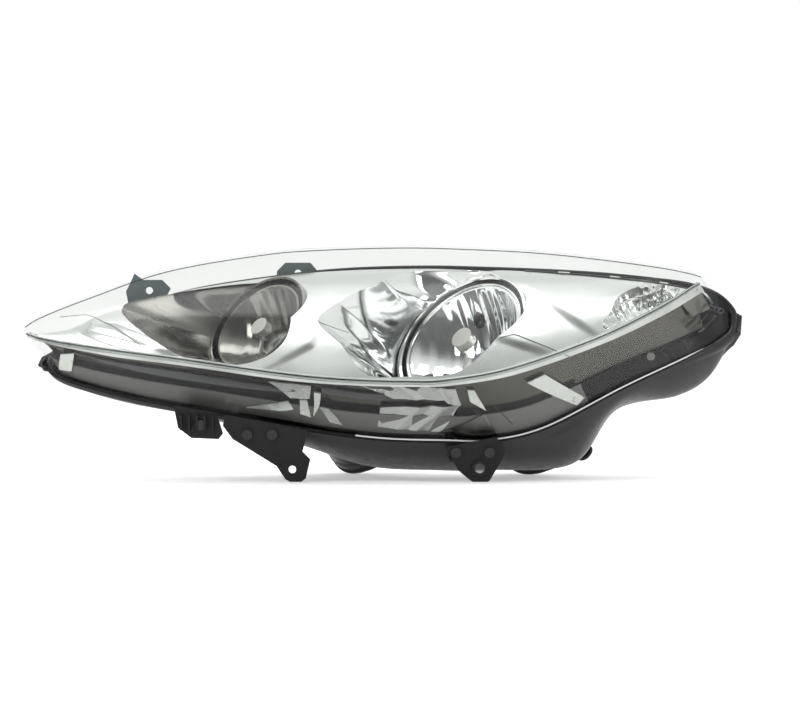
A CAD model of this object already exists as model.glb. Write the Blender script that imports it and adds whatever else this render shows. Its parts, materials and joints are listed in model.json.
"""Looks of the car headlight assembly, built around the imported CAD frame.

Sizes are in millimetres in this script and go out in metres. The drawing frame is
the CAD frame moved by CENTRE. The beam frame has x across the car, y up the car and
z along the beam, with its zero at the middle of the low-beam rim.
"""
import json
import math

import bmesh
import bpy
import numpy as np
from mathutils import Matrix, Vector
from mathutils.bvhtree import BVHTree


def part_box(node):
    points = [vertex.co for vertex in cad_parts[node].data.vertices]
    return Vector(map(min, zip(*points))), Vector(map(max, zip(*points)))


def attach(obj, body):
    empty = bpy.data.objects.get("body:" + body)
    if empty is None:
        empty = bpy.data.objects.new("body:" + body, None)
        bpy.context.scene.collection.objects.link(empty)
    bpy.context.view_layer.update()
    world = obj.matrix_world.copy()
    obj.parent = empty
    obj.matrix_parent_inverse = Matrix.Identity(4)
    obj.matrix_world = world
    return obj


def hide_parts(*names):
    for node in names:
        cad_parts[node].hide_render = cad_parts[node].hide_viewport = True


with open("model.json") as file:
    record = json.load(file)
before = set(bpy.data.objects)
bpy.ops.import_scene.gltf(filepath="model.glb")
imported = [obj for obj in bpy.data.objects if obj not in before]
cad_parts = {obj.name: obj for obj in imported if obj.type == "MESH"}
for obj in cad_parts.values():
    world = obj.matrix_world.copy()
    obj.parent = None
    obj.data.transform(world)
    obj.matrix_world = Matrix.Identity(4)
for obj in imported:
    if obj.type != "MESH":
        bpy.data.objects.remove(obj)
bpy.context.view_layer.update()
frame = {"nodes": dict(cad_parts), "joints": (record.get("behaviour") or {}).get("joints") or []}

MM = 0.001

# ---------------------------------------------------------------- frames
bracket_low = np.array(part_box("lower_bracket")[0]) / MM
CENTRE = np.array([58.0, 44.5, 0.0]) - bracket_low
JOINTS = {j["name"]: j for j in frame["joints"]}
FORWARD = -np.array(JOINTS["low_cap_pull"]["axis"])
UP = np.array(JOINTS["aim_yaw"]["axis"])
ACROSS = np.array(JOINTS["beam_tilt"]["axis"])
AXES = np.stack([ACROSS, UP, FORWARD])
LOW = np.array([76.0, 116.0, 128.0]) - CENTRE
HIGH = LOW + np.array([-149.0, -15.0, 115.0]) @ AXES
IND = LOW + np.array([130.0, 60.0, -104.5]) @ AXES
LOW_R, LOW_FOCAL = 58.0, 22.0
HIGH_R, HIGH_FOCAL = 44.0, 17.0
IND_R, IND_FOCAL = 30.0, 12.0
LOW_TURRET_Z, HIGH_TURRET_Z = -146.4, -180.0
LOW_CAP_R, HIGH_CAP_R = 46.0, 38.0


def beam_points(local, origin):
    """Points of a beam frame, whose zero is at origin, in the row frame."""
    return origin + np.asarray(local, float) @ AXES


# ---------------------------------------------------------------- outline
NEAR_CREASE = np.array([
    [-323, 68, 134], [-304, 58, 128], [-247, 44, 119], [-178, 31, 110], [-87, 11, 97],
    [-35, 3, 92], [18, 0, 90], [57, 1, 91], [117, 19, 102], [198, 61, 130],
    [255, 101, 157], [288, 130, 176], [300, 141, 183]], float) - CENTRE
FAR_CREASE = np.array([
    [-322, 76, 140], [-308, 90, 150], [-268, 117, 168], [-200, 157, 194], [-110, 183, 211],
    [-50, 191, 216], [18, 194, 218], [70, 193, 217], [145, 186, 213], [208, 176, 206],
    [262, 164, 198], [290, 155, 192], [301, 149, 188]], float) - CENTRE
NEAR_RIM = np.array([
    [-300, 80, 104], [-284, 76, 90], [-222, 68, 73], [-150, 61, 60], [-70, 56, 46],
    [0, 54, 37], [60, 55, 35], [100, 57, 35], [150, 67, 46], [222, 98, 81],
    [280, 126, 106], [314, 148, 121], [331, 164, 133]], float) - CENTRE
FAR_RIM = np.array([
    [-299, 89, 111], [-284, 111, 128], [-246, 140, 148], [-178, 179, 172], [-88, 205, 187],
    [-28, 213, 193], [40, 216, 195], [92, 215, 194], [165, 208, 191], [230, 200, 186],
    [286, 190, 178], [318, 180, 165], [333, 172, 147]], float) - CENTRE
KEEL = np.array([
    [-297, 85, 101], [-279, 94, 85], [-232, 106, 70], [-162, 120, 56], [-78, 128, 32],
    [-12, 131, 11], [50, 131, 7], [100, 131, 7], [178, 134, 13], [218, 142, 62],
    [276, 154, 75], [306, 160, 92], [326, 167, 122]], float) - CENTRE
LAST = len(NEAR_CREASE) - 1
FACE_NORMAL = np.array([0, -0.55, 0.835])
DOME_RISE = 0.12
LENS_WALL = 2.6
HOUSE_WALL = 2.8


def curve(points, t):
    """Point on the smooth curve through points, t stations along it."""
    t = min(max(t, 0.0), float(LAST))
    i = min(int(t), LAST - 1)
    u = t - i
    a, b, c, d = (points[min(max(k, 0), LAST)] for k in (i - 1, i, i + 1, i + 2))
    return (2 * b + (c - a) * u + (2 * a - 5 * b + 4 * c - d) * u ** 2
            + (3 * b - 3 * c + d - a) * u ** 3) / 2


def unit(v):
    return v / max(np.linalg.norm(v), 1e-9)


def along(points, t):
    return unit(curve(points, t + 0.2) - curve(points, t - 0.2))


def near_out(t):
    return unit(np.cross(along(NEAR_RIM, t), curve(NEAR_CREASE, t) - curve(NEAR_RIM, t)))


def far_out(t):
    return unit(np.cross(along(FAR_RIM, t), curve(FAR_RIM, t) - curve(FAR_CREASE, t)))


def resampled(points, count, radius):
    """A polyline rounded at its corners over radius, with count even points."""
    points = np.asarray(points, float)
    run = np.concatenate([[0], np.cumsum(np.linalg.norm(np.diff(points, axis=0), axis=1))])
    fine = np.linspace(0, run[-1], 400)
    dense = np.stack([np.interp(fine, run, points[:, k]) for k in range(3)], 1)
    if radius > 0:
        width = max(int(radius / run[-1] * 400), 1)
        padded = np.concatenate([
            2 * dense[0] - dense[width:0:-1], dense, 2 * dense[-1] - dense[-2:-width - 2:-1]])
        window = np.hanning(2 * width + 3)[1:-1]
        window = window / window.sum()
        dense = np.stack([np.convolve(padded[:, k], window, "valid") for k in range(3)], 1)
    spots = np.linspace(0, len(dense) - 1, count)
    return np.stack([np.interp(spots, np.arange(len(dense)), dense[:, k]) for k in range(3)], 1)


def dome(k, f, count):
    w = np.linspace(0, 1, count)[:, None]
    rise = DOME_RISE * np.linalg.norm(f - k)
    return k + (f - k) * w + FACE_NORMAL * rise * 4 * w * (1 - w)


def lens_section(t, count=84):
    n, k, f, g = (curve(p, t) for p in (NEAR_RIM, NEAR_CREASE, FAR_CREASE, FAR_RIM))
    return resampled(np.concatenate([[n], dome(k, f, 24), [g]]), count, 5)


def arc(start, end, first_down):
    """Quarter of an ellipse in Y and Z from start to end."""
    a = np.linspace(0, math.pi / 2, 14)
    s, c = np.sin(a), 1 - np.cos(a)
    across, down = (c, s) if first_down else (s, c)
    return np.stack([start[0] + (end[0] - start[0]) * c if first_down else start[0] + (end[0] - start[0]) * c,
                     start[1] + (end[1] - start[1]) * across,
                     start[2] + (end[2] - start[2]) * down], 1)


def house_section(t, count=72):
    end = np.array([-5.0 * max(0, 1 - t / 0.4) + 5.0 * max(0, 1 - (LAST - t) / 0.4), 0, 0])
    g = curve(FAR_RIM, t) + far_out(t) * 3.6 + end
    n = curve(NEAR_RIM, t) + near_out(t) * 3.6 + end
    b = curve(KEEL, t) + end
    up_g = unit(curve(FAR_CREASE, t) - curve(FAR_RIM, t)) * 2
    up_n = unit(curve(NEAR_CREASE, t) - curve(NEAR_RIM, t)) * 3
    hi, lo = b + [0, 7, 0], b - [0, 7, 0]
    far_wall = arc(hi, g, False)[::-1]
    near_wall = arc(lo, n, False)
    return resampled(np.concatenate([[g + up_g], far_wall, near_wall, [n + up_n]]), count, 3)


def grid_of(section, from_t, to_t, stations):
    return np.array([section(t) for t in np.linspace(from_t, to_t, stations)])


def pushed_in(grid, wall):
    ds = np.gradient(grid, axis=0)
    dv = np.gradient(grid, axis=1)
    normal = np.cross(ds, dv)
    normal /= np.maximum(np.linalg.norm(normal, axis=2, keepdims=True), 1e-9)
    return grid - normal * wall


# ---------------------------------------------------------------- meshes
def make(name, verts, faces, material, body, smooth=True, replaces=(), slot=None, angle=40):
    mesh = bpy.data.meshes.new(name)
    mesh.from_pydata([tuple(v) for v in np.asarray(verts, float) * MM], [], [tuple(f) for f in faces])
    mesh.validate()
    mesh.update()
    obj = bpy.data.objects.new(name, mesh)
    bpy.context.scene.collection.objects.link(obj)
    mesh.materials.append(material)
    dress(obj, smooth, angle)
    if body:
        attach(obj, body)
    if replaces:
        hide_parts(*replaces)
    return obj


def dress(obj, smooth=True, angle=40):
    """Outward normals, and smooth shading with sharp edges past angle."""
    bm = bmesh.new()
    bm.from_mesh(obj.data)
    bmesh.ops.recalc_face_normals(bm, faces=bm.faces)
    for f in bm.faces:
        f.smooth = smooth
    for e in bm.edges:
        e.smooth = not (len(e.link_faces) == 2 and e.calc_face_angle(0) > math.radians(angle))
    bm.to_mesh(obj.data)
    bm.free()


def patch(n, m, base=0):
    i, j = np.meshgrid(np.arange(n - 1), np.arange(m - 1), indexing="ij")
    a = (base + i * m + j).ravel()
    return [(p, p + m, p + m + 1, p + 1) for p in a]


def trough(outer, inner):
    """A wall between two grids, open along its rim and closed at its ends."""
    n, m = outer.shape[:2]
    q = n * m
    verts = np.concatenate([outer.reshape(-1, 3), inner.reshape(-1, 3)])
    faces = patch(n, m) + [f[::-1] for f in patch(n, m, q)]
    for start, flip in ((0, False), (q - m, True), (q, True), (2 * q - m, False)):
        for j in range(m // 2 - 1):
            f = (start + j, start + j + 1, start + m - 2 - j, start + m - 1 - j)
            faces.append(f[::-1] if flip else f)
    loop = [i * m for i in range(n)] + [i * m + m - 1 for i in range(n - 1, -1, -1)]
    for a, b in zip(loop, loop[1:] + loop[:1]):
        faces.append((a, b, b + q, a + q))
    return verts, faces


def sheet(outer, inner):
    n, m = outer.shape[:2]
    q = n * m
    verts = np.concatenate([outer.reshape(-1, 3), inner.reshape(-1, 3)])
    faces = patch(n, m) + [f[::-1] for f in patch(n, m, q)]
    loop = ([i * m for i in range(n)] + [(n - 1) * m + j for j in range(1, m)]
            + [i * m + m - 1 for i in range(n - 2, -1, -1)] + list(range(m - 2, 0, -1)))
    for a, b in zip(loop, loop[1:] + loop[:1]):
        faces.append((a, b, b + q, a + q))
    return verts, faces


def loop_faces(rows, around, closed=False):
    """Faces between loops of equal length; closed joins the last loop to the first."""
    faces = []
    for i in range(rows if closed else rows - 1):
        here, above = i * around, (i + 1) % rows * around
        for j in range(around):
            k = (j + 1) % around
            faces.append((here + j, here + k, above + k, above + j))
    return faces


def tree_of(grid):
    return BVHTree.FromPolygons([Vector(v) for v in grid.reshape(-1, 3)], patch(*grid.shape[:2]))


def lathe(profile, segments=128):
    """A profile of (radius, height) turned about the beam axis; both ends on the axis or joined."""
    profile = np.asarray(profile, float)
    a = np.arange(segments) * 2 * math.pi / segments
    verts = np.stack([profile[:, None, 0] * np.cos(a), profile[:, None, 0] * np.sin(a),
                      np.repeat(profile[:, 1:2], segments, 1)], 2).reshape(-1, 3)
    return verts, loop_faces(len(profile), segments)


def ring(profile, segments=128):
    """A closed profile turned about the beam axis."""
    profile = list(profile)
    verts, faces = lathe(profile + [profile[0]], segments)
    keep = len(profile) * segments
    return verts[:keep], [tuple(v % keep for v in f) for f in faces]


def softened(profile, radius=0.6, closed=True):
    """The profile with its corners cut into three short steps."""
    profile = [np.array(p, float) for p in profile]
    out = []
    n = len(profile)
    for i, p in enumerate(profile):
        if not closed and i in (0, n - 1):
            out.append(p)
            continue
        a, b = profile[i - 1], profile[(i + 1) % n]
        da, db = np.linalg.norm(a - p), np.linalg.norm(b - p)
        r = min(radius, da * 0.45, db * 0.45)
        pa, pb = p + (a - p) / da * r, p + (b - p) / db * r
        for w in (0, 0.33, 0.67, 1):
            out.append((1 - w) ** 2 * pa + 2 * w * (1 - w) * p + w ** 2 * pb)
    return out


def box_mesh(lo, hi):
    (x0, y0, z0), (x1, y1, z1) = lo, hi
    verts = [(x, y, z) for x in (x0, x1) for y in (y0, y1) for z in (z0, z1)]
    faces = [(0, 1, 3, 2), (4, 6, 7, 5), (0, 4, 5, 1), (2, 3, 7, 6), (0, 2, 6, 4), (1, 5, 7, 3)]
    return np.array(verts, float), faces


def cut(obj, verts, faces, operation="DIFFERENCE"):
    """Boolean of obj with a closed mesh, applied."""
    mesh = bpy.data.meshes.new("cutter")
    mesh.from_pydata([tuple(v) for v in np.asarray(verts, float) * MM], [], [tuple(f) for f in faces])
    cutter = bpy.data.objects.new("cutter", mesh)
    bpy.context.scene.collection.objects.link(cutter)
    dress(cutter, False)
    mod = obj.modifiers.new("cut", "BOOLEAN")
    mod.operation = operation
    mod.solver = "EXACT"
    mod.object = cutter
    apply_modifiers(obj)
    bpy.data.objects.remove(cutter)


def apply_modifiers(obj):
    bpy.context.view_layer.update()
    done = bpy.data.meshes.new_from_object(obj.evaluated_get(bpy.context.evaluated_depsgraph_get()))
    obj.modifiers.clear()
    obj.data = done


def disc_solid(radius, z0, z1, origin, segments=96):
    verts, faces = lathe([(radius, z0), (radius, z1)], segments)
    faces.append(tuple(range(segments))[::-1])
    faces.append(tuple(range(segments, 2 * segments)))
    return beam_points(verts, origin), faces


# ---------------------------------------------------------------- materials
def nodes_of(name):
    mat = bpy.data.materials.new(name)
    mat.use_nodes = True
    tree = mat.node_tree
    return mat, tree, tree.nodes["Principled BSDF"], tree.nodes["Material Output"]


def noise(tree, scale, detail=3.0, roughness=0.5, stretch=None):
    coord = tree.nodes.new("ShaderNodeTexCoord")
    tex = tree.nodes.new("ShaderNodeTexNoise")
    tex.inputs["Scale"].default_value = scale
    tex.inputs["Detail"].default_value = detail
    tex.inputs["Roughness"].default_value = roughness
    if stretch:
        mapping = tree.nodes.new("ShaderNodeMapping")
        mapping.inputs["Scale"].default_value = stretch
        tree.links.new(coord.outputs["Object"], mapping.inputs["Vector"])
        tree.links.new(mapping.outputs["Vector"], tex.inputs["Vector"])
    else:
        tree.links.new(coord.outputs["Object"], tex.inputs["Vector"])
    return tex.outputs["Fac"]


def mapped(tree, value, low, high):
    node = tree.nodes.new("ShaderNodeMapRange")
    node.inputs["From Min"].default_value = 0.3
    node.inputs["From Max"].default_value = 0.7
    node.inputs["To Min"].default_value = low
    node.inputs["To Max"].default_value = high
    tree.links.new(value, node.inputs["Value"])
    return node.outputs["Result"]


def mixed_colour(tree, value, low, high):
    node = tree.nodes.new("ShaderNodeMix")
    node.data_type = "RGBA"
    node.inputs["A"].default_value = (*low, 1)
    node.inputs["B"].default_value = (*high, 1)
    tree.links.new(value, node.inputs["Factor"])
    return node.outputs["Result"]


def bump(tree, bsdf, value, strength, distance):
    node = tree.nodes.new("ShaderNodeBump")
    node.inputs["Strength"].default_value = strength
    node.inputs["Distance"].default_value = distance
    tree.links.new(value, node.inputs["Height"])
    tree.links.new(node.outputs["Normal"], bsdf.inputs["Normal"])


def plain(name, low, high, rough, metallic=0.0, scale=60, bump_scale=900, bump_strength=0.1,
          bump_distance=0.0002, specular=0.5):
    """A finish with slow colour variation, uneven gloss and a fine surface texture."""
    mat, tree, bsdf, _ = nodes_of(name)
    slow = noise(tree, scale)
    tree.links.new(mixed_colour(tree, slow, low, high), bsdf.inputs["Base Color"])
    tree.links.new(mapped(tree, noise(tree, scale * 2.3), *rough), bsdf.inputs["Roughness"])
    bsdf.inputs["Metallic"].default_value = metallic
    bsdf.inputs["Specular IOR Level"].default_value = specular
    bump(tree, bsdf, noise(tree, bump_scale, 2), bump_strength, bump_distance)
    return mat


def clear_plastic(name, centre, edge, gloss_max=0.3, rough=0.02, outline=0.9, ior=1.45):
    """A thin clear wall: it passes less at a glancing angle, where the path is longer."""
    mat, tree, bsdf, out = nodes_of(name)
    facing = tree.nodes.new("ShaderNodeLayerWeight")
    facing.inputs["Blend"].default_value = 0.5
    ramp = tree.nodes.new("ShaderNodeValToRGB")
    ramp.color_ramp.elements[0].position = 0.0
    ramp.color_ramp.elements[0].color = (*centre, 1)
    ramp.color_ramp.elements[1].position = 1.0
    ramp.color_ramp.elements[1].color = (*edge, 1)
    for place, share in ((outline, 0.05), ((1 + outline) / 2, 0.3)):
        step = ramp.color_ramp.elements.new(place)
        step.color = (*[(1 - share) * c + share * e for c, e in zip(centre, edge)], 1)
    tree.links.new(facing.outputs["Facing"], ramp.inputs["Fac"])
    clear = tree.nodes.new("ShaderNodeBsdfTransparent")
    tree.links.new(ramp.outputs["Color"], clear.inputs["Color"])
    fresnel = tree.nodes.new("ShaderNodeFresnel")
    fresnel.inputs["IOR"].default_value = ior
    limit = tree.nodes.new("ShaderNodeMath")
    limit.operation = "MINIMUM"
    limit.inputs[1].default_value = gloss_max
    tree.links.new(fresnel.outputs["Fac"], limit.inputs[0])
    bsdf.inputs["Base Color"].default_value = (0.9, 0.9, 0.9, 1)
    bsdf.inputs["Metallic"].default_value = 1.0
    tree.links.new(mapped(tree, noise(tree, 25), rough, rough + 0.04), bsdf.inputs["Roughness"])
    mix = tree.nodes.new("ShaderNodeMixShader")
    tree.links.new(limit.outputs["Value"], mix.inputs["Fac"])
    tree.links.new(clear.outputs["BSDF"], mix.inputs[1])
    tree.links.new(bsdf.outputs["BSDF"], mix.inputs[2])
    tree.links.new(mix.outputs["Shader"], out.inputs["Surface"])
    return mat


def half_clear(name, colour, least, most, rough=0.3):
    """A milky edge of clear plastic, part covering and part clear."""
    mat, tree, bsdf, out = nodes_of(name)
    bsdf.inputs["Base Color"].default_value = (*colour, 1)
    tree.links.new(mapped(tree, noise(tree, 40), rough, rough + 0.1), bsdf.inputs["Roughness"])
    clear = tree.nodes.new("ShaderNodeBsdfTransparent")
    mix = tree.nodes.new("ShaderNodeMixShader")
    tree.links.new(mapped(tree, noise(tree, 18), least, most), mix.inputs["Fac"])
    tree.links.new(clear.outputs["BSDF"], mix.inputs[1])
    tree.links.new(bsdf.outputs["BSDF"], mix.inputs[2])
    tree.links.new(mix.outputs["Shader"], out.inputs["Surface"])
    return mat


HOUSING = plain("housing_satin_black", (0.014, 0.0145, 0.014), (0.023, 0.024, 0.023), (0.3, 0.46),
                bump_scale=700, bump_strength=0.05, specular=0.35)
MATT_BLACK = plain("bracket_matt_black", (0.008, 0.0085, 0.008), (0.015, 0.016, 0.015), (0.45, 0.62),
                   bump_scale=1600, bump_strength=0.3, specular=0.3)
RUBBER = plain("cap_rubber", (0.012, 0.012, 0.012), (0.022, 0.022, 0.022), (0.6, 0.8), bump_strength=0.2)
SEALANT = plain("sealant_bead", (0.03, 0.03, 0.03), (0.06, 0.06, 0.06), (0.5, 0.7))
CHROME = plain("bezel_satin_chrome", (0.62, 0.65, 0.63), (0.69, 0.70, 0.69), (0.26, 0.38), metallic=1.0,
               scale=14, bump_scale=22, bump_strength=0.35, bump_distance=0.0015)
BRIGHT = plain("surround_bright_chrome", (0.78, 0.80, 0.79), (0.84, 0.85, 0.84), (0.05, 0.12), metallic=1.0,
               scale=14, bump_scale=22, bump_strength=0.3, bump_distance=0.0012)
DARK_CHROME = plain("surround_dark_chrome", (0.15, 0.148, 0.135), (0.22, 0.215, 0.198), (0.2, 0.3),
                    metallic=1.0,
                    scale=16, bump_scale=14, bump_strength=0.5, bump_distance=0.003)
SCREW_GREY = plain("screw_grey", (0.2, 0.2, 0.19), (0.3, 0.3, 0.28), (0.3, 0.45), metallic=1.0)
BLACK_STEEL = plain("screw_black", (0.03, 0.03, 0.03), (0.06, 0.06, 0.06), (0.35, 0.5), metallic=0.6)
MIRROR = plain("reflector_bright", (0.84, 0.86, 0.86), (0.92, 0.93, 0.93), (0.04, 0.1), metallic=1.0,
               scale=20, bump_scale=30, bump_strength=0.25, bump_distance=0.001)
SMOKED = plain("bezel_smoked_chrome", (0.055, 0.053, 0.044), (0.10, 0.096, 0.082), (0.14, 0.24), metallic=1.0,
               scale=12, bump_scale=18, bump_strength=0.3, bump_distance=0.0015)
DARK_MIRROR = plain("reflector_dark", (0.2, 0.2, 0.18), (0.27, 0.265, 0.245), (0.16, 0.24), metallic=1.0,
                    scale=20, bump_scale=26, bump_strength=0.3, bump_distance=0.001)
STEEL = plain("zinc_steel", (0.5, 0.5, 0.47), (0.66, 0.66, 0.62), (0.25, 0.4), metallic=1.0)
NYLON = plain("natural_nylon", (0.62, 0.62, 0.56), (0.74, 0.74, 0.68), (0.35, 0.5))
CARRIER = plain("carrier_grey", (0.06, 0.06, 0.065), (0.1, 0.1, 0.105), (0.4, 0.55))
BRASS = plain("pin_brass", (0.7, 0.6, 0.34), (0.78, 0.68, 0.4), (0.2, 0.32), metallic=1.0)
PLUG = plain("plug_black", (0.02, 0.02, 0.022), (0.04, 0.04, 0.042), (0.3, 0.45))
LENS = clear_plastic("lens_clear", (0.985, 0.99, 0.985), (0.25, 0.27, 0.27), gloss_max=0.022, rough=0.1,
                     outline=0.9)
BEAD = clear_plastic("lens_bead", (0.80, 0.82, 0.81), (0.12, 0.13, 0.13), gloss_max=0.3, outline=0.3)
LINE = clear_plastic("lens_edge_line", (0.45, 0.47, 0.47), (0.2, 0.21, 0.21), gloss_max=0.1, outline=0.3)
FROST = half_clear("lens_thick_edge", (0.88, 0.90, 0.88), 0.46, 0.78)
SILVER = plain("skirt_silver", (0.34, 0.35, 0.34), (0.5, 0.51, 0.5), (0.22, 0.34), metallic=0.7, scale=22,
               bump_scale=30, bump_strength=0.4, bump_distance=0.002)
FOLD_CHROME = plain("skirt_fold_chrome", (0.42, 0.43, 0.42), (0.6, 0.61, 0.6), (0.26, 0.38), metallic=0.85,
                    scale=20,
                    bump_scale=26, bump_strength=0.5, bump_distance=0.003)
PANEL = plain("skirt_panel_grey", (0.075, 0.075, 0.07), (0.13, 0.13, 0.12), (0.3, 0.42), scale=9)
PALE = plain("bezel_tab_pale", (0.50, 0.52, 0.49), (0.64, 0.66, 0.62), (0.24, 0.34), metallic=0.4, scale=20,
             bump_scale=40, bump_strength=0.06)
FOOT = plain("lens_foot_frosted", (0.75, 0.76, 0.75), (0.86, 0.87, 0.86), (0.15, 0.3))
BULB = clear_plastic("bulb_glass", (0.95, 0.96, 0.98), (0.45, 0.47, 0.5))
CRYSTAL = clear_plastic("indicator_crystal", (0.9, 0.91, 0.9), (0.3, 0.31, 0.31), gloss_max=0.55, rough=0.06,
                        outline=0.45, ior=2.1)
AMBER = clear_plastic("amber_glass", (0.9, 0.45, 0.1), (0.5, 0.15, 0.02))

EAR_GREY = plain("ear_blue_grey", (0.10, 0.135, 0.145), (0.15, 0.19, 0.2), (0.5, 0.68))

NODE_MATERIALS = {
    "housing_shell": HOUSING, "leveller_motor": HOUSING, "main_connector": HOUSING, "vent_cap": HOUSING,
    "inner_bracket": MATT_BLACK, "lower_bracket": MATT_BLACK, "ribbed_bracket": MATT_BLACK,
    "upper_inner_ear": EAR_GREY, "upper_outer_ear": EAR_GREY,
    "low_beam_cap": RUBBER, "high_beam_cap": RUBBER, "low_cap_seal": RUBBER, "high_cap_seal": RUBBER,
    "leveller_seal": RUBBER, "lens_sealant": SEALANT, "chrome_bezel": CHROME, "low_beam_ring": MIRROR,
    "low_beam_reflector": MIRROR, "high_beam_reflector": MIRROR, "indicator_reflector": MIRROR,
    "bezel_screws": SCREW_GREY, "bracket_screws": BLACK_STEEL, "yaw_pins": STEEL, "tilt_pin": STEEL,
    "low_bulb_base": STEEL, "high_bulb_base": STEEL, "low_bulb_clip": STEEL, "high_bulb_clip": STEEL,
    "low_beam_shield": STEEL, "high_beam_shield": STEEL, "connector_pins": BRASS,
    "aim_bush": NYLON, "leveller_rod": NYLON, "height_knob": NYLON, "aim_rod": NYLON, "aim_knob": NYLON,
    "aim_frame": CARRIER, "reflector_bridge": CARRIER, "low_bulb_glass": BULB, "high_bulb_glass": BULB,
    "side_light_bulb": BULB, "low_bulb_plug": PLUG, "high_bulb_plug": PLUG, "side_light_holder": PLUG,
    "indicator_holder": PLUG, "indicator_bulb": AMBER, "indicator_lens": CRYSTAL, "outer_lens": LENS,
}
for node_name, node_material in NODE_MATERIALS.items():
    node_object = frame["nodes"][node_name]
    node_object.data.materials.clear()
    node_object.data.materials.append(node_material)

# ---------------------------------------------------------------- lens
lens_outer = grid_of(lens_section, 0, LAST, 190)
lens_inner = pushed_in(grid_of(lens_section, 0.12, LAST - 0.12, 190), LENS_WALL)
make("lens_cover", *trough(lens_outer, lens_inner), LENS, "housing", replaces=["outer_lens"],
     slot="lens_clear")


def sweep(path, rx, rz, segments=20, lean=None):
    """A closed oval tube along a path of points, rx across and rz deep."""
    path = np.asarray(path, float)
    tangent = np.gradient(path, axis=0)
    tangent /= np.linalg.norm(tangent, axis=1, keepdims=True)
    side = np.cross(tangent, lean if lean is not None else [0, 0, 1.0])
    side /= np.linalg.norm(side, axis=1, keepdims=True)
    rise = np.cross(side, tangent)
    a = np.arange(segments) * 2 * math.pi / segments
    rows = (path[:, None] + side[:, None] * (rx * np.cos(a))[None, :, None]
            + rise[:, None] * (rz * np.sin(a))[None, :, None])
    n = len(path)
    faces = [(i * segments + j, i * segments + (j + 1) % segments,
              (i + 1) * segments + (j + 1) % segments, (i + 1) * segments + j)
             for i in range(n - 1) for j in range(segments)]
    faces.append(tuple(range(segments))[::-1])
    faces.append(tuple(range((n - 1) * segments, n * segments)))
    return rows.reshape(-1, 3), faces


def lens_normal(t):
    """Outward from the lens at its near crease."""
    return unit(near_out(t) + FACE_NORMAL)


def skirt_point(t, down, inward):
    """Behind the near skirt of the lens, down its face from the crease."""
    n, k = curve(NEAR_RIM, t), curve(NEAR_CREASE, t)
    return k + unit(n - k) * down - near_out(t) * inward


def tube_line(name, points, radius, material, body="housing", slot_name="lens_clear"):
    return make(name, *sweep(points, radius, radius, 10), material, body, slot=slot_name)


ts = np.linspace(0.2, LAST - 0.3, 220)
tube_line("lens_crease_line", [curve(NEAR_CREASE, t) - lens_normal(t) * 3.4 for t in ts], 0.75, LINE)
tube_line("lens_crease_low_line", [skirt_point(t, 3 + 7 * min(1, t / 3), 3.5) for t in ts], 0.6, LINE)
tube_line("lens_far_line", [curve(FAR_CREASE, t) - np.array([0, 0.8, 2.9]) for t in ts], 0.55, LINE)
edge_grid = np.array([[skirt_point(t, d * min(1, 0.3 + t / 3), 3.2 + 0.5 * math.sin(d / 3))
                       for d in np.linspace(0.6, 10.5, 8)] for t in ts])
make("lens_thick_edge", *sheet(edge_grid, pushed_in(edge_grid, 0.7)), FROST, "housing", slot="lens_clear")
crease_path = [curve(NEAR_CREASE, t) - lens_normal(t) * 5.4 for t in ts]
make("lens_crease_bead", *sweep(crease_path, 1.8, 2.4), BEAD, "housing", slot="lens_clear")
shine = [skirt_point(t, np.linalg.norm(curve(NEAR_CREASE, t) - curve(NEAR_RIM, t)) - 4.6, -1.1)
         for t in np.linspace(4.7, LAST - 0.25, 120)]
tube_line("lens_foot_edge", shine, 0.8, FOOT)

# ---------------------------------------------------------------- bezel
def bezel_section(t, count=120):
    k = curve(NEAR_CREASE, t) * 0.92 + curve(NEAR_RIM, t) * 0.08 - near_out(t) * 6
    f = curve(FAR_CREASE, t) * 0.22 + curve(FAR_RIM, t) * 0.78 - far_out(t) * 6
    return dome(k, f, count)


def closed_curve(points, count):
    """Even points on the smooth closed curve through points."""
    p = np.asarray(points, float)
    n = len(p)
    out = []
    for s in np.linspace(0, n, 400, endpoint=False):
        i, u = int(s), s - int(s)
        a, b, c, d = (p[(i + k) % n] for k in (-1, 0, 1, 2))
        out.append((2 * b + (c - a) * u + (2 * a - 5 * b + 4 * c - d) * u ** 2
                    + (3 * b - 3 * c + d - a) * u ** 3) / 2)
    out = np.array(out + out[:1])
    run = np.concatenate([[0], np.cumsum(np.linalg.norm(np.diff(out, axis=0), axis=1))])
    spots = np.linspace(0, run[-1], count, endpoint=False)
    return np.stack([np.interp(spots, run, out[:, k]) for k in range(2)], 1)


LOW_WINDOW = [
    [-56, 145], [-30, 166], [-8, 177], [22, 190], [55, 193], [98, 193], [116, 183], [122, 164],
    [116, 146], [104, 128], [84, 108], [62, 96], [24, 94], [-12, 96], [-34, 122]]
HIGH_WINDOW = [
    [-238, 156], [-216, 166], [-175, 174], [-120, 180], [-98, 174], [-84, 157], [-80, 142],
    [-86, 124], [-104, 110], [-130, 104], [-166, 108], [-205, 128]]
IND_WINDOW = [
    [205, 136], [202, 143], [210, 153], [219, 167], [240, 177], [264, 179], [279, 175], [280, 171],
    [266, 164], [248, 155], [228, 145]]


def window_outline(points, count=220):
    flat = closed_curve(points, count)
    return flat - [CENTRE[0], CENTRE[2]]


def window_prism(flat):
    n = len(flat)
    verts = [(x, -400, z) for x, z in flat] + [(x, 400, z) for x, z in flat]
    faces = [tuple(range(n)), tuple(range(2 * n - 1, n - 1, -1))]
    faces += [(i, i + n, (i + 1) % n + n, (i + 1) % n) for i in range(n)]
    return np.array(verts, float), faces


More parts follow.
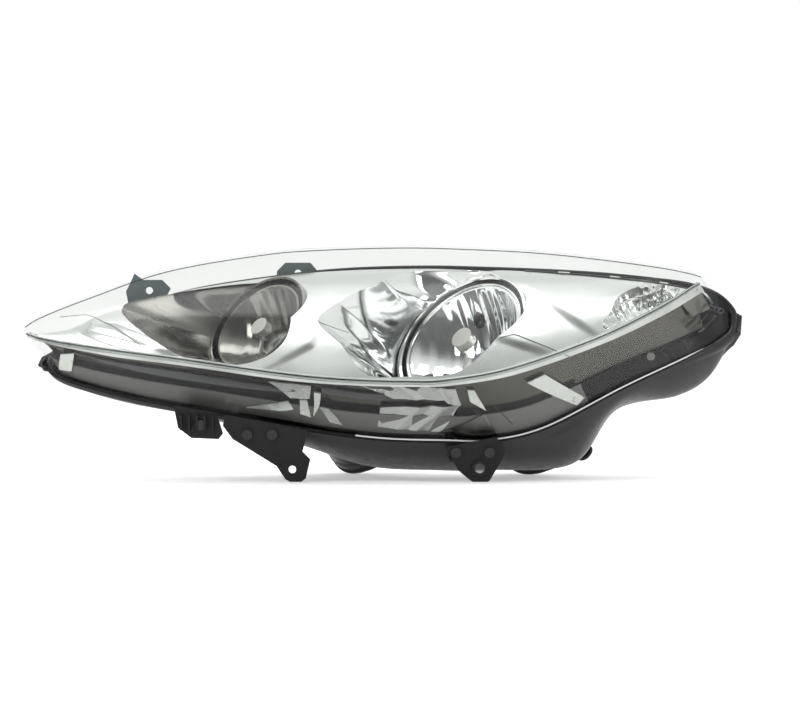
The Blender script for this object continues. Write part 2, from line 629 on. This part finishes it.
FOLDS = [
    ([(106, 194), (140, 170), (170, 148), (196, 130)], 1.6),
    ([(104, 128), (128, 121), (160, 112)], 1.2),
    ([(-282, 140), (-250, 129), (-210, 119), (-160, 107)], 1.8),
    ([(-286, 147), (-262, 140), (-238, 137), (-200, 121), (-172, 106)], 1.6),
    ([(-90, 106), (-60, 122), (-54, 143)], 1.0),
    ([(-240, 158), (-255, 150), (-270, 147)], 1.2)]


def folded(grid):
    """Low steps in the face of the bezel, along each line of X and Z."""
    grid = grid.copy()
    flat = grid[:, :, [0, 2]] + [CENTRE[0], CENTRE[2]]
    for line, height in FOLDS:
        line = np.array(line, float)
        best = np.full(flat.shape[:2], 1e9)
        side = np.zeros(flat.shape[:2])
        fade = np.zeros(flat.shape[:2])
        run = np.linalg.norm(np.diff(line, axis=0), axis=1)
        for i, (a, b) in enumerate(zip(line[:-1], line[1:])):
            w = np.clip(((flat - a) @ (b - a)) / ((b - a) @ (b - a)), 0, 1)
            off = flat - (a + w[..., None] * (b - a))
            distance = np.linalg.norm(off, axis=2)
            turn = (b - a)[0] * off[..., 1] - (b - a)[1] * off[..., 0]
            closer = distance < best
            best = np.where(closer, distance, best)
            side = np.where(closer, np.sign(turn), side)
            place = (run[:i].sum() + w * run[i]) / run.sum()
            fade = np.where(closer, np.sin(math.pi * np.clip(place, 0.02, 0.98)) ** 0.4, fade)
        signed = best * side
        step = np.clip(signed / 2.2, -1, 1) * np.exp(-(best / 26) ** 2)
        grid += FACE_NORMAL * (height * step * fade)[..., None]
    return grid


CREASES = [
    [(106, 128), (120, 132), (150, 120), (170, 111)],
    [(-56, 143), (-40, 137), (-28, 133)],
    [(-286, 147), (-266, 150), (-240, 139), (-214, 122)]]


bezel_grid = folded(grid_of(bezel_section, 0.5, LAST - 0.7, 360))
bezel_verts, bezel_faces = sheet(bezel_grid, pushed_in(bezel_grid, 2.2))
bezel = make("bezel_face", bezel_verts, bezel_faces, CHROME, None)
bezel_tree = tree_of(bezel_grid)
for outline in (LOW_WINDOW, HIGH_WINDOW, IND_WINDOW):
    cut(bezel, *window_prism(window_outline(outline)))
LIP = 2.8
for spot, radius, z0, z1 in ((LOW, LOW_R + 8.7, -25, 40), (HIGH, HIGH_R + 7.2, -25, 40)):
    cut(bezel, *disc_solid(radius + LIP, z0, z1, spot))
dress(bezel)
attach(bezel, "housing")
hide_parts("chrome_bezel")


def skirt_section(t, count=30):
    """The bezel's near edge, turned down behind the lens skirt."""
    n, k = curve(NEAR_RIM, t), curve(NEAR_CREASE, t)
    top = k * 0.92 + n * 0.08 - near_out(t) * 6
    down = n - k
    back = -near_out(t)
    reach = 0.62 * min(1.0, t / 1.5 + 0.2)
    corners = [top - FACE_NORMAL * 1.5 + back * 1.5, top + down * 0.05 + back * 0.5,
               top + down * reach + back * 7,
               top + down * (reach + 0.06) + back * 14]
    return resampled(corners, count, 4)


skirt_grid = grid_of(skirt_section, 0.5, LAST - 0.9, 160)
make("bezel_skirt", *sheet(skirt_grid, pushed_in(skirt_grid, 1.8)), SMOKED, "housing", slot="bezel_chrome")


def skirt_quad(name, corners, inward, material, fold=0.0, folds=1, taper=False, thick=1.2, cols=30, rows=12):
    """A four-cornered piece behind the near skirt; each corner is a station and a share of its height."""
    (ta, wa), (tb, wb), (tc, wc), (td, wd) = corners
    grid = []
    for a in np.linspace(0, 1, cols):
        row = []
        for b in np.linspace(0, 1, rows):
            span = b * (max(0.06, math.sin(math.pi * a) ** 0.7) if taper else 1)
            t = (ta + (tb - ta) * a) * (1 - span) + (td + (tc - td) * a) * span
            w = (wa + (wb - wa) * a) * (1 - span) + (wd + (wc - wd) * a) * span
            place = a * folds + 0.35 * b + 0.12 * math.sin(9 * a + 2)
            zig = fold * (1 - 4 * abs((place % 1.0) - 0.5))
            zig += 0.3 * fold * math.sin(14 * a + 5 * b)
            k, n = curve(NEAR_CREASE, t), curve(NEAR_RIM, t)
            row.append(k + (n - k) * w - near_out(t) * (inward + zig + 0.6 * math.sin(math.pi * b)))
        grid.append(row)
    grid = np.array(grid)
    return make(name, *sheet(grid, pushed_in(grid, thick)), material, "housing", slot="bezel_chrome",
                angle=24)


def skirt_line(ends, count, inward):
    """Points behind the near skirt between two ends; inward gives the depth at each share of the way."""
    (ta, wa), (tb, wb) = ends
    points = []
    for a in np.linspace(0, 1, count):
        t, w = ta + (tb - ta) * a, wa + (wb - wa) * a
        points.append(curve(NEAR_CREASE, t) * (1 - w) + curve(NEAR_RIM, t) * w - near_out(t) * inward(a))
    return points


skirt_quad("skirt_low_panel", [(0.7, 0.6), (8.6, 0.64), (8.6, 0.94), (0.7, 0.94)], 6.2, PANEL, cols=160)
skirt_quad("skirt_shadow_band", [(1.42, 0.3), (4.2, 0.34), (4.2, 0.5), (1.42, 0.44)], 5.6, PLUG, taper=True,
           cols=80)
skirt_quad("skirt_silver_band", [(5.2, 0.14), (6.52, 0.14), (6.64, 0.36), (5.6, 0.36)], 6.0, SILVER, fold=0.7,
           folds=2, cols=60)
skirt_quad("skirt_silver_step", [(6.54, 0.14), (7.05, 0.19), (6.92, 0.44), (6.66, 0.42)], 5.0, SILVER,
           fold=0.6)
skirt_quad("skirt_folds", [(5.3, 0.5), (6.9, 0.45), (5.95, 0.9), (5.05, 0.84)], 6.0, FOLD_CHROME, fold=0.75,
           folds=2.6, cols=110, rows=20)
skirt_quad("skirt_fold_shadow", [(4.53, 0.22), (5.5, 0.28), (5.52, 0.38), (4.48, 0.33)], 4.8, PLUG)
skirt_quad("skirt_low_wedge", [(5.9, 0.9), (7.24, 0.6), (7.18, 0.92), (6.5, 0.96)], 4.6, DARK_CHROME)
skirt_quad("skirt_tab_left", [(4.36, 0.32), (4.47, 0.32), (4.35, 0.56), (4.2, 0.77)], 4.2, PALE)
skirt_quad("skirt_tab_left_low", [(4.1, 0.5), (4.2, 0.48), (4.16, 0.79), (4.04, 0.75)], 4.4, PALE)
skirt_quad("skirt_tab_left_foot", [(4.34, 0.58), (4.47, 0.59), (4.55, 0.86), (4.39, 0.84)], 5.0, SILVER)
skirt_quad("skirt_left_wedge", [(3.43, 0.8), (3.94, 0.55), (3.97, 0.69), (3.8, 0.76)], 4.4, PALE)
skirt_quad("skirt_left_sheen", [(3.8, 0.24), (4.36, 0.22), (4.24, 0.46), (3.98, 0.5)], 5.2, SILVER, fold=0.4)
skirt_quad("skirt_tab_inner", [(1.2, 0.36), (1.46, 0.27), (1.22, 0.74), (0.9, 0.82)], 4.0, PALE)
skirt_quad("skirt_tab_right", [(7.23, 0.22), (7.33, 0.24), (7.29, 0.56), (7.13, 0.4)], 4.2, PALE)
skirt_quad("skirt_strip", [(8.08, 0.3), (8.3, 0.27), (8.57, 0.84), (8.46, 0.9)], 4.4, PALE, thick=1.6)
for i, ends in enumerate((((7.35, 0.12), (7.57, 0.82)), ((7.09, 0.44), (7.16, 0.94)))):
    tube_line("lens_mould_line_%d" % i, skirt_line(ends, 24, lambda a: 3.3), 0.4, LINE)
SCREW_AT = 8.47
screw_spot = curve(NEAR_CREASE, SCREW_AT) * 0.2 + curve(NEAR_RIM, SCREW_AT) * 0.8 - near_out(SCREW_AT) * 3.6
screw_head = softened([(0.6, 0), (2.6, 0), (2.6, 0.8), (1.6, 1.6), (0.6, 1.6)], 0.3)
head_verts, head_faces = ring(screw_head, 40)
axis_z = near_out(SCREW_AT)
axis_x = unit(np.cross([0, 0, 1.0], axis_z))
head_axes = np.stack([axis_x, np.cross(axis_z, axis_x), axis_z])
make("skirt_strip_screw", screw_spot + head_verts @ head_axes, head_faces, STEEL, "housing",
     slot="zinc_steel")
skirt_quad("skirt_end_pocket", [(10.5, 0.04), (11.55, 0.1), (11.5, 0.46), (10.7, 0.42)], 4.4, DARK_CHROME,
           fold=0.5)
for i, ends in enumerate((((10.55, 0.5), (11.5, 0.34)), ((10.6, 0.6), (11.55, 0.47)),
                          ((10.75, 0.7), (11.6, 0.6)))):
    rib = skirt_line(ends, 16, lambda a: 4.4 + math.sin(5 * a))
    make("end_rib_%d" % i, *sweep(rib, 2.2, 0.9, 12), BEAD, "housing", slot="lens_clear")

edge_ts = np.linspace(7.7, 10.9, 120)
slot_line = [bezel_section(t)[-5] + FACE_NORMAL * 1.4 for t in edge_ts]
make("bezel_top_slot", *sweep(slot_line, 1.9, 0.9, 12), PLUG, "housing", slot="bezel_chrome")
for i, t in enumerate((8.15, 8.9, 9.7, 10.35)):
    span = [bezel_section(u)[-6] + FACE_NORMAL * 2.0 for u in np.linspace(t, t + 0.16, 8)]
    make("bezel_top_light_%d" % i, *sweep(span, 2.4, 1.0, 12), PALE, "housing", slot="bezel_chrome")
CLIPS_AT = 11.55
clip_place = curve(NEAR_RIM, CLIPS_AT) * 0.45 + curve(NEAR_CREASE, CLIPS_AT) * 0.55 - near_out(CLIPS_AT) * 5
for i in range(3):
    turn = np.linspace(0, 2 * math.pi, 40)
    circle = np.stack([clip_place[0] + 3 + 4.2 * i + 2.8 * np.cos(turn), clip_place[1] + 0.4 * i + 0 * turn,
                       clip_place[2] - 1.2 * i + 2.2 * np.sin(turn)], 1)
    make("end_clip_%d" % i, *sweep(circle, 0.7, 0.7, 10, lean=[0, 1.0, 0]), BEAD, "housing",
         slot="lens_clear")


def crease_line(flat):
    """Points just above the bezel face, along a line of X and Z."""
    flat = np.array(flat, float)
    run = np.concatenate([[0], np.cumsum(np.linalg.norm(np.diff(flat, axis=0), axis=1))])
    spots = np.linspace(0, run[-1], 40)
    even = np.stack([np.interp(spots, run, flat[:, k]) for k in range(2)], 1)
    for _ in range(4):
        even[1:-1] = (even[:-2] + 2 * even[1:-1] + even[2:]) / 4
    return on_bezel(even - [CENTRE[0], CENTRE[2]]) + FACE_NORMAL * 0.1


def on_bezel(flat):
    """Points of the bezel face behind an outline in X and Z."""
    out = []
    for x, z in flat:
        hit = bezel_tree.ray_cast(Vector((x, -500, z)), Vector((0, 1, 0)))[0]
        out.append(np.array(hit) if hit else np.array([x, np.nan, z]))
    out = np.array(out)
    good = ~np.isnan(out[:, 1])
    index = np.arange(len(out))
    out[:, 1] = np.interp(index, index[good], out[good, 1], period=len(out))
    return out


def funnel(name, outline, origin, radius, depth, material, rows=40, folds=0.0, count=9):
    """A bright folded wall from the edge of a window down to a lip round a reflector."""
    edge = on_bezel(window_outline(outline))
    local = (edge - origin) @ AXES.T
    reach = np.linalg.norm(local[:, :2], axis=1)
    for i in np.where(reach < radius + LIP)[0]:
        x, y = local[i, :2] / reach[i] * (radius + LIP)
        start = beam_points([[x, y, -60]], origin)[0]
        hit = bezel_tree.ray_cast(Vector(start), Vector(FORWARD))[0]
        edge[i] = np.array(hit) if hit else beam_points([[x, y, local[i, 2]]], origin)[0]
    local = (edge - origin) @ AXES.T
    angle = np.unwrap(np.arctan2(local[:, 1], local[:, 0]))
    def circle(r, z):
        return beam_points(np.stack([r * np.cos(angle), r * np.sin(angle), np.full(len(angle), z)], 1),
                           origin)

    foot = circle(radius + LIP - 0.3, depth + 1.5)
    grid = []
    for w in np.linspace(0, 1, rows):
        drop = w ** 0.7
        row = edge + (foot - edge) * w
        row += FORWARD * (-(drop - w)) * 14
        crease = 2 * np.abs(np.sin(angle * count / 2 + 1.3 * w)) - 1
        row += (folds * math.sin(math.pi * w) ** 0.7 * crease)[:, None] * FORWARD
        grid.append(row)
    grid += [circle(radius + LIP - 0.8, depth + 1.8), circle(radius + 1, depth + 1.9),
             circle(radius, depth + 1),
             circle(radius, depth - 3)]
    grid = np.array(grid)
    closed = np.concatenate([grid, grid[:, :1]], 1)
    back = closed - FORWARD * 1.6
    verts, faces = sheet(closed, back)
    return make(name, verts, faces, material, "housing", slot="bezel_chrome", angle=28)


for i, line in enumerate(CREASES):
    make("bezel_crease_%d" % i, *sweep(crease_line(line), 0.55, 0.3, 10), DARK_CHROME, "housing",
         slot="bezel_chrome")
funnel("low_beam_surround", LOW_WINDOW, LOW, LOW_R + 8.7, 1.0, BRIGHT, folds=3.2, count=11)
funnel("high_beam_surround", HIGH_WINDOW, HIGH, HIGH_R + 7.2, 1.0, DARK_CHROME, folds=0.5, count=5)

# faceted opaque chrome pocket that fills the window of the indicator, in front of its bowl and cover
ind_edge = on_bezel(window_outline(IND_WINDOW, 150))
ind_middle = ind_edge.mean(axis=0) - FACE_NORMAL * 15
pocket = []
for w in np.linspace(0, 1, 22):
    row = ind_edge + (ind_middle - ind_edge) * w - FACE_NORMAL * (9 * math.sin(math.pi * w) ** 0.8)
    x, z = row[:, 0], row[:, 2]
    facet = np.abs(((0.11 * x + 0.07 * z) % 1.0) - 0.5) + np.abs(((0.13 * z - 0.05 * x) % 1.0) - 0.5)
    pocket.append(row + FACE_NORMAL * ((4.5 * (facet - 0.5)) * math.sin(math.pi * min(1, 1.6 * w)))[:, None]
                  if w < 0.62 else row + FACE_NORMAL * (1.6 * (facet - 0.5))[:, None])
pocket = np.array(pocket)
pocket = np.concatenate([pocket, pocket[:, :1]], 1)
make("indicator_surround", *sheet(pocket, pocket - FACE_NORMAL * 1.5), BRIGHT, "housing", slot="bezel_chrome",
     angle=12)

# ---------------------------------------------------------------- housing
house_outer = grid_of(house_section, 0, LAST, 180)
house_inner = pushed_in(grid_of(house_section, 0, LAST, 180), HOUSE_WALL)
house_inner[0] += [3, 0, 0]
house_inner[-1] -= [3, 0, 0]
housing = make("housing_bowl", *trough(house_outer, house_inner), HOUSING, None)
for origin, radius, z0 in ((LOW, LOW_CAP_R + 0.6, LOW_TURRET_Z), (HIGH, HIGH_CAP_R + 0.6, HIGH_TURRET_Z)):
    cut(housing, *disc_solid(radius, z0 - 10, -62, origin))
dress(housing)
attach(housing, "housing")
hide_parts("housing_shell")


def rim_loop(off, drop, count=520, smoothing=9):
    """The closed line of the rim of the housing, off outwards from the foot of the lens."""
    near = [curve(NEAR_RIM, t) + near_out(t) * off for t in np.linspace(0.1, LAST - 0.1, 200)]
    far = [curve(FAR_RIM, t) + far_out(t) * off for t in np.linspace(LAST - 0.1, 0.1, 200)]
    loop = np.array(near + far) + [0, 0, drop]
    closed = np.concatenate([loop, loop[:1]])
    run = np.concatenate([[0], np.cumsum(np.linalg.norm(np.diff(closed, axis=0), axis=1))])
    spots = np.linspace(0, run[-1], count, endpoint=False)
    even = np.stack([np.interp(spots, run, closed[:, k]) for k in range(3)], 1)
    window = np.hanning(smoothing + 2)[1:-1]
    window /= window.sum()
    half = smoothing // 2
    padded = np.concatenate([even[-half:], even, even[:half]])
    return np.stack([np.convolve(padded[:, k], window, "valid") for k in range(3)], 1)


def closed_sweep(path, rx, rz, segments=16):
    """An oval tube round a closed path; rx and rz may change along it."""
    tangent = np.roll(path, -1, 0) - np.roll(path, 1, 0)
    tangent /= np.linalg.norm(tangent, axis=1, keepdims=True)
    side = np.cross(tangent, [0, 0, 1.0])
    side /= np.linalg.norm(side, axis=1, keepdims=True)
    rise = np.cross(side, tangent)
    a = np.arange(segments) * 2 * math.pi / segments
    rx, rz = np.broadcast_to(rx, len(path)), np.broadcast_to(rz, len(path))
    rows = (path[:, None] + side[:, None] * (rx[:, None] * np.cos(a))[..., None]
            + rise[:, None] * (rz[:, None] * np.sin(a))[..., None])
    return rows.reshape(-1, 3), loop_faces(len(path), segments, closed=True)


rim = rim_loop(1.2, 0.5)
swell = 1 + 0.7 * np.clip((rim[:, 0] - 255) / 50, 0, 1)
make("rim_bead", *closed_sweep(rim, 2.2 * swell, 3.2 * swell), HOUSING, "housing", slot="housing_plastic")


def turret(name, origin, cap_r, z, reach):
    inner, outer = cap_r + 0.6, cap_r + 5
    profile = [(inner, z + 2.4), (outer, z + 2.4), (outer, z + 9), (outer - 1.4, z + 10),
               (outer - 1.4, z + reach), (inner, z + reach)]
    verts, faces = ring(softened(profile, 0.8))
    make(name, beam_points(verts, origin), faces, HOUSING, "housing", slot="housing_plastic")


turret("low_turret", LOW, LOW_CAP_R, LOW_TURRET_Z, 72)
turret("high_turret", HIGH, HIGH_CAP_R, HIGH_TURRET_Z, 112)

# moulded stiffening ribs on the back of the housing, and a rolled lip under the far rim
house_tree = tree_of(house_outer)


def back_rib(name, start, end, radius=2.2, count=60):
    """A low rounded rib on the back wall, between two points of X and Z."""
    path = []
    for a in np.linspace(0, 1, count):
        x, z = start[0] + (end[0] - start[0]) * a, start[1] + (end[1] - start[1]) * a
        hit = house_tree.ray_cast(Vector((x - CENTRE[0], 600, z - CENTRE[2])), Vector((0, -1, 0)))[0]
        if hit:
            path.append(np.array(hit) + [0, 0.1 * radius, 0])
    make(name, *sweep(path, radius, radius, 12), HOUSING, "housing", slot="housing_plastic")


BACK_RIBS = [  # ends as (X, Z)
    ((-250, 130), (-215, 90)), ((-222, 140), (-180, 78)), ((-190, 148), (-150, 70)), ((-60, 168), (-48, 96)),
    ((-22, 176), (-14, 108)), ((16, 178), (18, 120)), ((142, 176), (150, 120)), ((176, 174), (188, 118)),
    ((222, 170), (232, 112)), ((-262, 124), (-60, 150)), ((-30, 154), (118, 158)), ((150, 156), (288, 138))]
for i, (start, end) in enumerate(BACK_RIBS):
    back_rib("housing_rib_%02d" % i, start, end)
lip = [curve(FAR_RIM, t) + far_out(t) * 4.4 - np.array([0, 0, 3.0])
       for t in np.linspace(0.5, LAST - 0.5, 200)]
make("housing_far_lip", *sweep(lip, 1.3, 1.8, 12), HOUSING, "housing", slot="housing_plastic")

# ---------------------------------------------------------------- reflectors
BULB_HOLE = 14.0
IND_HOLE = 9.0
BOWL_FLANGE = 2.0
BOWL_WALL = 2.4


def reflector(name, origin, rim, focal, hole, flange, material, body, columns):
    """A bowl whose bright face is cut in upright flutes and two cross steps."""
    rings, around = 46, 288
    a = np.arange(around) * 2 * math.pi / around
    rows = []
    for i in range(rings + 1):
        r = hole + (rim - hole) * i / rings
        z = (r * r - rim * rim) / (4 * focal)
        x, y = r * np.cos(a), r * np.sin(a)
        edge = math.sin(math.pi * min(1, max(0, (r - hole) / (rim - hole)))) ** 0.5
        flute = 2.0 * columns * np.abs(((x / rim * columns) % 1.0) - 0.5) / columns
        band = 0.5 * np.abs(((y / rim * 2.2 + 0.3) % 1.0) - 0.5)
        rows.append(np.stack([x, y, z + edge * (1.5 * flute + 1.2 * band)], 1))
    front = np.array(rows)
    low = (hole * hole - rim * rim) / (4 * focal)
    extra = [(rim + flange, 0.0), (rim + flange, -3.0)]
    for i in range(14, 2, -1):
        r = hole + (rim - hole) * i / 14
        extra.append((r + 0.7 * BOWL_WALL, (r ** 2 - rim * rim) / (4 * focal) - BOWL_WALL))
    extra += [(hole + 6, low - 1), (hole + 6, low - 10), (hole, low - 10)]
    back = [np.stack([r * np.cos(a), r * np.sin(a), np.full(around, z)], 1) for r, z in extra]
    grid = np.concatenate([front, np.array(back)])
    faces = loop_faces(len(grid), around, closed=True)
    return make(name, beam_points(grid.reshape(-1, 3), origin), faces, material, body,
                slot="reflector_chrome",
                angle=16)


reflector("indicator_bowl", IND, IND_R, IND_FOCAL, IND_HOLE, BOWL_FLANGE, MIRROR, "housing", 7)
ind_bowl = bpy.data.objects["indicator_bowl"]
cut(ind_bowl, *window_prism(window_outline(IND_WINDOW)), "INTERSECT")
dress(ind_bowl, True, 16)
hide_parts("indicator_reflector")
low_bowl = reflector("low_beam_bowl", LOW, LOW_R, LOW_FOCAL, BULB_HOLE, BOWL_FLANGE, MIRROR, "reflectors", 5)
high_bowl = reflector("high_beam_bowl", HIGH, HIGH_R, HIGH_FOCAL, BULB_HOLE, BOWL_FLANGE, DARK_MIRROR,
                      "reflectors", 4)
for bowl, origin, rim, focal in ((low_bowl, LOW, LOW_R, LOW_FOCAL), (high_bowl, HIGH, HIGH_R, HIGH_FOCAL)):
    neck = (BULB_HOLE ** 2 - rim ** 2) / (4 * focal) - 10
    for verts, faces in (box_mesh((14.2, -20, neck), (27, 20, neck + 3)),
                         box_mesh((-27, -20, neck), (-14.2, 20, neck + 3)),
                         box_mesh((18.5, 14.5, neck - 5), (23.5, 18.5, neck)),
                         box_mesh((18.5, -18.5, neck - 5), (23.5, -14.5, neck))):
        make(bowl.name + "_lug", beam_points(verts, origin), faces, CARRIER, "reflectors", smooth=False,
             slot="carrier_plastic")
side_cut = disc_solid(6.0, -50, 5, beam_points([[0, 38, 0]], LOW)[0])
cut(low_bowl, *side_cut)
dress(low_bowl, True, 16)
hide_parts("low_beam_reflector")
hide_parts("high_beam_reflector")

ring_profile = softened([(LOW_R + 2.05, -6), (LOW_R + 5, -6), (LOW_R + 5, 0.4), (LOW_R + 4, 1.5),
                         (LOW_R + 3, 1.5),
                         (LOW_R + 2.05, 0.4)], 0.9)
ring_verts, ring_faces = ring(ring_profile)
make("low_beam_band", beam_points(ring_verts, LOW), ring_faces, BRIGHT, "reflectors",
     replaces=["low_beam_ring"],
     slot="bezel_chrome")

# crystal cover of the indicator, trimmed to the window and behind the chrome pocket
CRYSTAL_R = IND_R - 0.5
CRYSTAL_RINGS, CRYSTAL_AROUND = 30, 96
a = np.arange(CRYSTAL_AROUND) * 2 * math.pi / CRYSTAL_AROUND
crystal = []
for i in range(CRYSTAL_RINGS + 1):
    r = CRYSTAL_R * i / CRYSTAL_RINGS
    x, y = r * np.cos(a), r * np.sin(a)
    facet = np.abs(((x / 7.5) % 1.0) - 0.5) + np.abs(((y / 6.0 + 0.25) % 1.0) - 0.5)
    crystal.append(np.stack([x, y, 2.5 - 2.2 * facet], 1))
crystal.append(np.stack([CRYSTAL_R * np.cos(a), CRYSTAL_R * np.sin(a), 0 * a + 0.1], 1))
crystal.append(np.stack([0 * a, 0 * a, 0 * a + 0.1], 1))
crystal = np.array(crystal)
crystal_faces = loop_faces(len(crystal), CRYSTAL_AROUND)
cover = make("indicator_crystal_cover", beam_points(crystal.reshape(-1, 3), IND), crystal_faces, CRYSTAL,
             "housing",
             replaces=["indicator_lens"], slot="indicator_crystal", angle=10)
cut(cover, *window_prism(window_outline(IND_WINDOW)), "INTERSECT")
dress(cover, True, 10)

# ---------------------------------------------------------------- camera and light
TARGET = (np.array([18.0, 90.0, 109.5]) - CENTRE) * MM
DISTANCE = 2.2
camera = bpy.data.cameras.new("camera")
camera.lens = 108.9
camera.sensor_width = 36
camera_object = bpy.data.objects.new("camera", camera)
camera_object.location = (TARGET[0], TARGET[1] - DISTANCE, TARGET[2])
camera_object.rotation_euler = (math.radians(90), 0, 0)
bpy.context.scene.collection.objects.link(camera_object)
bpy.context.scene.camera = camera_object

floor_mat = plain("floor_white", (0.93, 0.93, 0.93), (0.94, 0.94, 0.94), (0.7, 0.8), bump_strength=0.0)
glow = floor_mat.node_tree.nodes["Principled BSDF"]
glow.inputs["Emission Color"].default_value = (1, 1, 1, 1)
glow.inputs["Emission Strength"].default_value = 0.4
floor = make("floor", [(-6000, -6000, -0.5), (6000, -6000, -0.5), (6000, 6000, -0.5), (-6000, 6000, -0.5)],
             [(0, 1, 2, 3)], floor_mat, None)


def soft_light(name, place, size, power, aim=(0, 0, 0.1)):
    lamp = bpy.data.lights.new(name, "AREA")
    lamp.shape = "RECTANGLE"
    lamp.size, lamp.size_y = size
    lamp.energy = power
    obj = bpy.data.objects.new(name, lamp)
    obj.location = place
    obj.rotation_euler = (Vector(aim) - Vector(place)).to_track_quat("-Z", "Y").to_euler()
    bpy.context.scene.collection.objects.link(obj)


soft_light("key", (-1.3, -1.3, 1.5), (0.9, 0.9), 14)
soft_light("fill", (1.6, -1.1, 1.0), (0.7, 1.0), 8)
soft_light("top", (0.0, 0.4, 2.0), (1.6, 0.8), 12)
bpy.context.scene.view_settings.view_transform = "Standard"
world = bpy.data.worlds.new("world")
world.use_nodes = True
tree = world.node_tree
coord = tree.nodes.new("ShaderNodeTexCoord")
split = tree.nodes.new("ShaderNodeSeparateXYZ")
tree.links.new(coord.outputs["Generated"], split.inputs["Vector"])
shade = tree.nodes.new("ShaderNodeMapRange")
shade.interpolation_type = "SMOOTHSTEP"
shade.inputs["From Min"].default_value = -0.75
shade.inputs["From Max"].default_value = 0.15
shade.inputs["To Min"].default_value = 0.12
shade.inputs["To Max"].default_value = 1.05
tree.links.new(split.outputs["Y"], shade.inputs["Value"])
tree.links.new(shade.outputs["Result"], tree.nodes["Background"].inputs["Strength"])
tree.nodes["Background"].inputs["Color"].default_value = (1, 1, 1, 1)
bpy.context.scene.world = world
